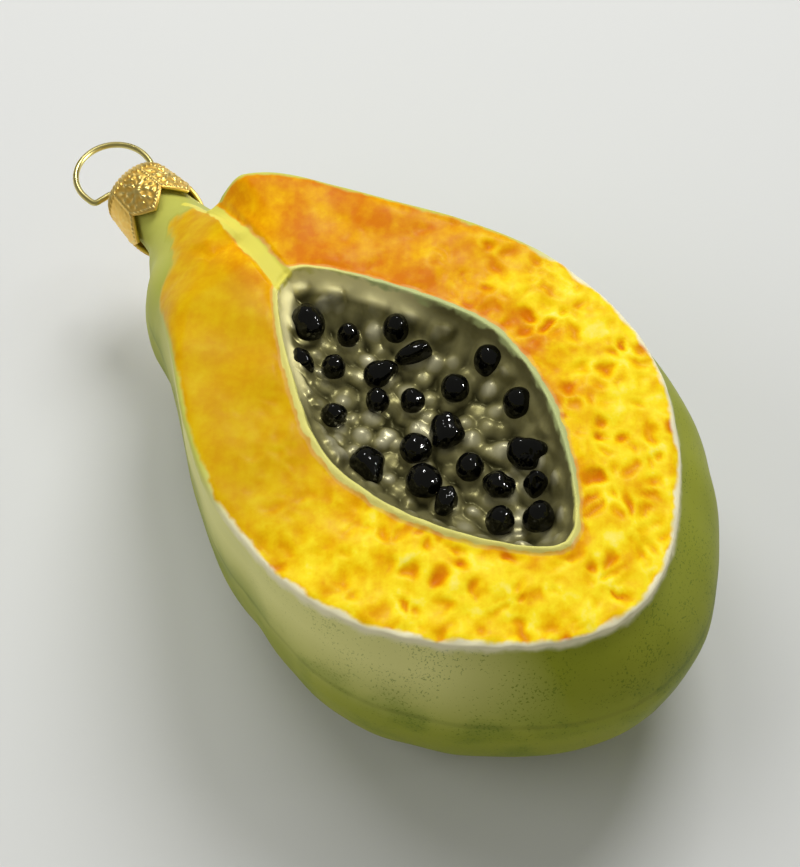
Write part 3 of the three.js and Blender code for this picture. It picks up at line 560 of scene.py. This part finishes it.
# painted shade: the creases between the lumps go dark olive, most strongly low on the floor
painted_crease_shade = add(tree, "ShaderNodeMapRange", {0: field["height"], 1: 0.7, 2: 0.15, 3: 0.0, 4: 0.9}).outputs[0]
shade_deeper_down = add(tree, "ShaderNodeMapRange", {0: field["wall_mm"], 1: 0.7, 2: 2.2, 3: 1.0, 4: 0.2}).outputs[0]
painted_crease_shade = add(tree, "ShaderNodeMath", {0: painted_crease_shade, 1: shade_deeper_down}, operation="MULTIPLY").outputs[0]
silver = add(tree, "ShaderNodeMix", {0: painted_crease_shade, 6: silver, 7: colour("#2C2A12")}, data_type="RGBA").outputs[2]
# cream paint over the upper wall at the stem end, made brighter as painted light
wall_cream_and_painted_light = add(tree, "ShaderNodeMapRange", {0: field["wall_mm"], 1: 2.9, 2: 4.2}, **soft_step).outputs[0]
stem_end = add(tree, "ShaderNodeMapRange", {0: place.outputs["Y"], 1: -6.0, 2: 4.0}, **soft_step).outputs[0]
wall_cream_and_painted_light = add(tree, "ShaderNodeMath", {0: wall_cream_and_painted_light, 1: stem_end}, operation="MULTIPLY").outputs[0]
silver = add(tree, "ShaderNodeMix", {0: wall_cream_and_painted_light, 6: silver, 7: colour("#F8EFB0")},
             data_type="RGBA").outputs[2]
skin_paint = add(tree, "ShaderNodeMix", {0: in_cavity, 6: skin_paint, 7: silver}, data_type="RGBA").outputs[2]

# band: pale lemon in the groove, with a cream line beside it
band_shift = add(tree, "ShaderNodeMath", {0: wobble, 1: 1.4, 2: field["band_mm"]},
                 operation="MULTIPLY_ADD").outputs[0]
beside = add(tree, "ShaderNodeMapRange", {0: band_shift, 1: 2.15, 2: 1.7, 3: 0.0, 4: 0.4},
             **soft_step).outputs[0]
right_of_band = add(tree, "ShaderNodeMapRange", {0: place.outputs["X"], 1: -1.2, 2: -0.8, 3: 0.15,
                                                 4: 1.0}).outputs[0]
beside = add(tree, "ShaderNodeMath", {0: beside, 1: right_of_band}, operation="MULTIPLY").outputs[0]
on_face = add(tree, "ShaderNodeMapRange", {0: field["cavity_mm"], 1: 0.8, 2: 1.4}).outputs[0]
beside = add(tree, "ShaderNodeMath", {0: beside, 1: on_face}, operation="MULTIPLY").outputs[0]
below_neck = add(tree, "ShaderNodeMapRange", {0: place.outputs["Y"], 1: 22.0, 2: 27.0, 3: 0.7,
                                              4: 0.0}).outputs[0]
beside = add(tree, "ShaderNodeMath", {0: beside, 1: below_neck}, operation="MULTIPLY").outputs[0]
skin_paint = add(tree, "ShaderNodeMix", {0: beside, 6: skin_paint, 7: colour("#E8D9B0")},
                 data_type="RGBA").outputs[2]
to_band = add(tree, "ShaderNodeMapRange", {0: band_shift, 1: 1.8, 2: 1.5}, **soft_step).outputs[0]
outside = add(tree, "ShaderNodeMapRange", {0: lip_wave, 1: -0.1, 2: 0.3}, **soft_step).outputs[0]
to_band = add(tree, "ShaderNodeMath", {0: to_band, 1: outside}, operation="MULTIPLY").outputs[0]
skin_paint = add(tree, "ShaderNodeMix", {0: to_band, 6: skin_paint, 7: colour("#DED55C")},
                 data_type="RGBA").outputs[2]

# the clear coat covers everything; only the bare silver is part metal
bare = add(tree, "ShaderNodeMath", {0: 1.0, 1: wall_cream_and_painted_light}, operation="SUBTRACT").outputs[0]
bare = add(tree, "ShaderNodeMath", {0: bare, 1: in_cavity}, operation="MULTIPLY").outputs[0]
metal = add(tree, "ShaderNodeMath", {0: bare, 1: 0.4}, operation="MULTIPLY").outputs[0]
gloss = add(tree, "ShaderNodeMapRange", {0: bare, 1: 0.0, 2: 1.0, 3: 0.42, 4: 0.36}).outputs[0]
shader = add(tree, "ShaderNodeBsdfPrincipled", {
    "Base Color": skin_paint, "Metallic": metal, "Roughness": gloss, "IOR": 1.45, "Specular IOR Level": 0.07,
    "Coat Weight": 0.012, "Coat Roughness": 0.2, "Coat IOR": 1.5})
add(tree, "ShaderNodeOutputMaterial", {"Surface": shader.outputs[0]})
shape.materials.clear()
shape.materials.append(painted_glass)
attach(glass_body, "root")
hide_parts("glass_body")

# ---------------------------------------------------------------------------------------------
# Seeds. Blobs of black enamel, dripped by hand over the bumps that the mould leaves in the cavity.
# The enamel draws itself together as it dries, so no two are alike and all are glossy.
# ---------------------------------------------------------------------------------------------
SEED_CENTRE_HEIGHT, SEED_HALF_HEIGHT = 1.9, 2.2
SHRINK_MM = 1.25
# by number in the list above: how ragged the outlines are, and how much wider one end is
ragged_seeds = {3: 0.13, 4: 0.12, 13: 0.1, 14: 0.1, 18: 0.15, 19: 0.14, 20: 0.18, 23: 0.16}
pear_seeds = {0: 0.1, 6: 0.3, 13: 0.22, 14: 0.25, 22: -0.2}


def into_row(bm):
    """Moves a shape from the ornament's millimetres to the row's frame, in metres."""
    bmesh.ops.translate(bm, verts=bm.verts, vec=TO_ROW)
    bmesh.ops.scale(bm, verts=bm.verts, vec=(0.001, 0.001, 0.001))


bm = bmesh.new()
for number, (sx, sy, long, wide, degrees) in enumerate(seed_places):
    blob = bmesh.ops.create_icosphere(bm, subdivisions=5, radius=1)["verts"]
    d = np.array([v.co.normalized() for v in blob])
    grain = ragged_seeds.get(number, 0.035)
    uneven = grain * ripple(d[:, 0] + 0.6 * d[:, 2], d[:, 1] - 0.5 * d[:, 2], 0.8, 100 + number, 7)
    uneven += 0.4 * grain * ripple(d[:, 0] - 0.3 * d[:, 2], d[:, 1] + 0.4 * d[:, 2], 0.45, 200 + number, 5)
    off_x, off_y = sx - FACE_CENTRE[0], sy - FACE_CENTRE[1]
    from_middle = np.hypot(off_x, off_y) / cavity_reach(math.atan2(off_y, off_x))
    rise = 0.8 * float(ease(0.5, 0.95, from_middle))       # as the floor curves up to the wall
    egg = 1 + pear_seeds.get(number, 0.06) * d[:, 0]       # one end wider than the other
    moved = d * np.array([long / 2, wide / 2, SEED_HALF_HEIGHT + rise]) * (1 + uneven)[:, None]
    moved[:, 1] *= egg
    for v, moved_to in zip(blob, moved):
        v.co = moved_to
    bmesh.ops.rotate(bm, verts=blob, cent=(0, 0, 0), matrix=Matrix.Rotation(math.radians(degrees), 3, "Z"))
    bmesh.ops.translate(bm, verts=blob, vec=(sx, sy, SEED_CENTRE_HEIGHT + rise - CAVITY_DEPTH))
into_row(bm)
for face in bm.faces:
    face.smooth = True
seeds = make_object(bm, "seeds")

# Black enamel: air-dried gloss paint, nearly a mirror, with faint ripples where it shrank
black_enamel, tree, mm = start_material("black_gloss_enamel")
shrink = add(tree, "ShaderNodeTexNoise", {"Vector": mm, "Scale": 1 / SHRINK_MM, "Detail": 2.5}).outputs["Fac"]
ink = add(tree, "ShaderNodeMix", {0: shrink, 6: colour("#030303"), 7: colour("#0A0A08")},
          data_type="RGBA").outputs[2]
gloss = add(tree, "ShaderNodeMapRange", {0: shrink, 1: 0.3, 2: 0.7, 3: 0.05, 4: 0.12}).outputs[0]
dimple = add(tree, "ShaderNodeBump", {"Height": shrink, "Strength": 0.5, "Distance": 0.0004}).outputs[0]
shader = add(tree, "ShaderNodeBsdfPrincipled", {
    "Base Color": ink, "Roughness": gloss, "IOR": 1.5, "Specular IOR Level": 0.3, "Normal": dimple})
add(tree, "ShaderNodeOutputMaterial", {"Surface": shader.outputs[0]})
seeds.data.materials.append(black_enamel)
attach(seeds, "root")

# ---------------------------------------------------------------------------------------------
# Cap. Thin brass sheet, pressed into a bell with six pointed petals, each embossed with a flower
# inside a beaded border, and gold-plated. It slips over the neck and is held by the wire's spring.
# ---------------------------------------------------------------------------------------------
CAP_BASE, CAP_NOTCH, CAP_SHOULDER, CAP_TOP, CAP_WALL = 96.5, 99.35, 104.6, 106.3, 0.45
CAP_PETALS, CAP_TURN = 6, 0.141          # the turn is a share of the whole circle
CAP_RADIUS, CAP_FLARE, CAP_BORE = 5.45, 0.95, 4.9
OUTER_ROWS, CAP_STEPS = 72, 504
BEAD_PITCH, TARNISH_MM = 0.5, 1.43
CAP_LENGTH = CAP_SHOULDER - CAP_BASE
cap_profile = [(0, CAP_TOP)] + [(3.7 * k / 8, CAP_TOP) for k in range(1, 9)]
cap_profile += [(4.05, CAP_TOP - 0.1), (4.4, CAP_TOP - 0.27), (4.7, CAP_TOP - 0.5), (4.95, CAP_TOP - 0.78),
                (5.15, CAP_TOP - 1.08), (5.32, CAP_TOP - 1.4)]
cap_profile += [(CAP_RADIUS, CAP_SHOULDER - CAP_LENGTH * k / OUTER_ROWS) for k in range(OUTER_ROWS + 1)]
cap_profile += [(CAP_BORE, CAP_SHOULDER - CAP_LENGTH * k / 8) for k in range(8, -1, -1)]
cap_profile += [(3.6, CAP_TOP - CAP_WALL), (0, CAP_TOP - CAP_WALL)]
bm = bmesh.new()
turned(bm, [bm.verts.new((0, along_mm, r)) for r, along_mm in cap_profile], CAP_STEPS)
bmesh.ops.remove_doubles(bm, verts=bm.verts, dist=1e-5)
bm.verts.ensure_lookup_table()
co = np.array([v.co for v in bm.verts])
share = np.arctan2(co[:, 0], co[:, 2]) / math.tau
r, old_y = np.hypot(co[:, 0], co[:, 2]), co[:, 1]
down = (CAP_SHOULDER - old_y) / CAP_LENGTH                      # 0 at the shoulder, 1 at a petal's tip
petal = (share + CAP_TURN) * CAP_PETALS
across = ((petal % 1) - 0.5) * 2                                # -1 to 1 over one petal
tip = CAP_NOTCH + (CAP_BASE - CAP_NOTCH) * (1 - np.abs(across)) ** 0.75
on_wall = old_y < CAP_SHOULDER + 1e-4
outer = on_wall & (r > 5.2)
new_y = np.where(on_wall, CAP_SHOULDER + (tip - CAP_SHOULDER) * down, old_y)
bell = CAP_RADIUS + CAP_FLARE * np.clip((CAP_SHOULDER - new_y) / CAP_LENGTH, 0, 1) ** 0.7
p_mm, v_mm = across * np.pi * bell / CAP_PETALS, new_y - (CAP_SHOULDER - 3.3)
from_middle, heading = np.hypot(p_mm, v_mm), np.arctan2(p_mm, v_mm)
edge_mm = (new_y - tip) * 0.86
side_mm = (1 - np.abs(across)) * np.pi * bell / CAP_PETALS


def bead_row(distance, centre, along, high):
    """A row of pressed beads at a distance from a line."""
    lobe = 0.35 + 0.65 * np.cos(np.pi * along / BEAD_PITCH) ** 2
    return high * lobe * np.exp(-((distance - centre) / (BEAD_PITCH * 0.42)) ** 2)


flower = 0.3 * np.exp(-(from_middle / 0.55) ** 2)
flower += 0.26 * np.exp(-((from_middle - 1.3) / 0.55) ** 2) * np.clip(np.cos(6 * heading), 0, 1) ** 0.8
flower += 0.2 * np.exp(-((from_middle - 2.4) / 0.3) ** 2) * np.clip(np.cos(12 * heading + math.pi), 0, 1)
flower += 0.07 * ripple(p_mm * 3, v_mm * 3, 1.6, 21)
plain_petal = np.floor(petal) % CAP_PETALS == 5                  # one petal is pressed faintly
flower *= np.where(plain_petal, 0.25, 1.0)
relief = flower * ease(0.25, 0.9, edge_mm) * ease(0.15, 0.6, side_mm)
relief += bead_row(edge_mm, 0.55, p_mm, 0.2) * ease(0.05, 0.3, edge_mm)
relief += bead_row(side_mm, 0.0, new_y, 0.16) * ease(0.2, 1.2, edge_mm)
rope = 0.18 * np.cos(share * math.tau * 40 + (CAP_TOP - old_y) * 1.6)        # the scalloped rope round the crown
on_crown = ~on_wall & (r > 4) & (old_y > CAP_SHOULDER)
outer_r = bell + relief * ease(1.0, 0.985, down) + rope * ease(0.1, 0.0, down)
crown_r = r + np.where(on_crown, rope * ease(3.9, 4.6, r), 0)
new_r = np.where(outer, outer_r, np.where(on_wall, bell - CAP_WALL - 0.05, crown_r))
for v, radius, height, s in zip(bm.verts, new_r, new_y, share):
    v.co = (radius * math.sin(s * math.tau), height, radius * math.cos(s * math.tau))
bmesh.ops.recalc_face_normals(bm, faces=bm.faces)
bmesh.ops.translate(bm, verts=bm.verts, vec=(NECK_X, 0, NECK_Z))
into_row(bm)
for face in bm.faces:
    face.smooth = True
cap = make_object(bm, "cap_pressed")
relief_field = cap.data.attributes.new("relief", "FLOAT", "POINT")
relief_field.data.foreach_set("value", np.where(outer, relief, 0.1).astype(np.float32))

# Gold-plated brass: a painted highlight on the raised beads, painted shade in the hollows, which are also duller
gilt, tree, mm = start_material("gold_plated_pressed_brass")
relief_at = add(tree, "ShaderNodeAttribute", attribute_name="relief").outputs["Fac"]
tarnish = add(tree, "ShaderNodeTexNoise", {"Vector": mm, "Scale": 1 / TARNISH_MM, "Detail": 3.0}).outputs["Fac"]
raised = add(tree, "ShaderNodeMapRange", {0: relief_at, 1: -0.03, 2: 0.16}).outputs[0]
plate = add(tree, "ShaderNodeMix", {0: tarnish, 6: colour("#FFD970"), 7: colour("#FFEDA4")},
            data_type="RGBA").outputs[2]
# painted highlight and shade: raised beads take the lighter plate colour, hollows a deeper gold
plate = add(tree, "ShaderNodeMix", {0: raised, 6: colour("#FFD266"), 7: plate}, data_type="RGBA").outputs[2]
dull = add(tree, "ShaderNodeMapRange", {0: raised, 1: 0.0, 2: 1.0, 3: 0.5, 4: 0.3}).outputs[0]
shader = add(tree, "ShaderNodeBsdfPrincipled", {"Base Color": plate, "Roughness": dull, "Metallic": 1.0})
add(tree, "ShaderNodeOutputMaterial", {"Surface": shader.outputs[0]})
cap.data.materials.append(gilt)
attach(cap, "root")
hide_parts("cap")

# ---------------------------------------------------------------------------------------------
# Hanger. Hard brass-coloured spring wire bent to a ring, its two legs sprung through the cap's
# holes and down inside the neck.
# ---------------------------------------------------------------------------------------------
RING_X, RING_Y, RING_RADIUS, WIRE_RADIUS, WIRE_SIDES = -0.7, 109.7, 5.9, 0.475, 24
LEG_HOLE, LEG_END_Y, LEG_SPREAD = 2.75, 88.0, 3.3
DRAWN_PATCH_MM = 4
# x, y and how far both legs lean towards the ring's side
leg = [(LEG_SPREAD - 0.35, LEG_END_Y, 0), (2.6, LEG_END_Y + 5, 0), (2.1, CAP_TOP - 7, 0),
       (LEG_HOLE - 0.45, CAP_TOP - 1, 0), (3.1, CAP_TOP + 0.75, -0.2), (4.3, CAP_TOP + 0.95, -0.5)]
arc = [math.radians(180 - a) for a in range(-22, 203, 16)]
wire_line = [(aside - a, b) for a, b, aside in leg]
wire_line += [(RING_X + math.cos(a) * RING_RADIUS, RING_Y + math.sin(a) * RING_RADIUS) for a in arc]
wire_line += [(aside + a, b) for a, b, aside in leg[::-1]]
wire_steps = [parts(8)] * (len(wire_line) - 2) + [np.linspace(0, 1, 9)]
wire_points = bend_through(np.array(wire_line), wire_steps)
tangent = np.gradient(wire_points, axis=0)
tangent /= np.linalg.norm(tangent, axis=1, keepdims=True)
# doubled ends close to a point
wire_points = np.concatenate([wire_points[:1], wire_points, wire_points[-1:]])
tangent = np.concatenate([tangent[:1], tangent, tangent[-1:]])
thickness = np.full(len(wire_points), WIRE_RADIUS)
thickness[[0, -1]] = 0
bm = bmesh.new()
bmesh.ops.create_grid(bm, x_segments=WIRE_SIDES, y_segments=len(wire_points) - 1, size=1)
for v in bm.verts:
    k, around = round((v.co.y + 1) / 2 * (len(wire_points) - 1)), (v.co.x + 1) * math.pi
    out, up = thickness[k] * math.cos(around), thickness[k] * math.sin(around)
    v.co = (wire_points[k][0] - tangent[k][1] * out, wire_points[k][1] + tangent[k][0] * out, up)
bmesh.ops.remove_doubles(bm, verts=bm.verts, dist=0.002)
bmesh.ops.recalc_face_normals(bm, faces=bm.faces)
bmesh.ops.translate(bm, verts=bm.verts, vec=(NECK_X, 0, NECK_Z))
into_row(bm)
for face in bm.faces:
    face.smooth = len(face.verts) == 4
wire = make_object(bm, "hanger_wire_ring")

# Drawn brass wire: lacquered, with paler and duller patches from handling
drawn_brass, tree, mm = start_material("drawn_brass_wire")
patch = add(tree, "ShaderNodeTexNoise", {"Vector": mm, "Scale": 1 / DRAWN_PATCH_MM,
                                         "Detail": 3.0}).outputs["Fac"]
brass = add(tree, "ShaderNodeMix", {0: patch, 6: colour("#CDBE6A"), 7: colour("#E9DC9C")},
            data_type="RGBA").outputs[2]
satin = add(tree, "ShaderNodeMapRange", {0: patch, 1: 0.3, 2: 0.7, 3: 0.26, 4: 0.36}).outputs[0]
shader = add(tree, "ShaderNodeBsdfPrincipled", {"Base Color": brass, "Roughness": satin, "Metallic": 1.0})
add(tree, "ShaderNodeOutputMaterial", {"Surface": shader.outputs[0]})
wire.data.materials.append(drawn_brass)
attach(wire, "root")
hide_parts("hanger_wire")

# ---------------------------------------------------------------------------------------------
# Tabletop, lights and camera. A pale matt board under soft light from the upper right. Wide lamps
# light the paint, and two small ones give the glints on the seeds and the wire.
# ---------------------------------------------------------------------------------------------
bm = bmesh.new()
bmesh.ops.create_grid(bm, x_segments=2, y_segments=2, size=1.5)
tabletop = make_object(bm, "tabletop")
board = bpy.data.materials.new("matt_white_board")
board.use_nodes = True
board_paint = board.node_tree.nodes["Principled BSDF"].inputs
board_paint["Base Color"].default_value, board_paint["Roughness"].default_value = colour("#D9DAD8"), 0.7
tabletop.data.materials.append(board)

scene = bpy.context.scene
scene.view_settings.view_transform = "Standard"
room = bpy.data.worlds.new("room")
room.use_nodes = True
air = room.node_tree.nodes["Background"].inputs
air["Color"].default_value, air["Strength"].default_value = colour("#F6F5EA"), 0.25
scene.world = room


def disk_light(name, place, target, size, power, tint, only_glints=False):
    data = bpy.data.lights.new(name, "AREA")
    data.shape, data.size, data.energy, data.color = "DISK", size, power, colour(tint)[:3]
    lamp = bpy.data.objects.new(name, data)
    lamp.location = place
    lamp.rotation_euler = (Vector(target) - Vector(place)).to_track_quat("-Z", "Y").to_euler()
    lamp.visible_diffuse, lamp.visible_glossy = not only_glints, only_glints
    scene.collection.objects.link(lamp)


disk_light("window", (0.40, 0.20, 0.6), (0, -0.01, 0.02), 0.38, 3.4, "#FDFDFF")
disk_light("ceiling", (0.06, 0.42, 0.62), (0, 0, 0.02), 0.4, 1.5, "#FFFFFF")
disk_light("left_fill", (-0.42, 0.26, 0.4), (0, 0, 0.02), 0.4, 0.8, "#FFFFFF")
disk_light("right_glint", (0.38, -0.42, 0.26), (0, -0.01, 0.02), 0.05, 3.0, "#FFFFFF", only_glints=True)
disk_light("window_glint", (0.33, 0.30, 0.6), (0, -0.01, 0.02), 0.07, 1.8, "#FFFFFF", only_glints=True)

# the photo's camera, fitted to the ornament's outline
camera_data = bpy.data.cameras.new("camera")
camera_data.lens, camera_data.sensor_width, camera_data.clip_start = 84.3, 36, 0.01
camera = bpy.data.objects.new("camera", camera_data)
camera.location = (-0.0949, -0.1162, 0.2724)
camera.rotation_euler = (Vector((-0.00524, -0.0156, 0.039)) - camera.location).to_track_quat("-Z", "Y").to_euler()
scene.collection.objects.link(camera)
scene.camera = camera
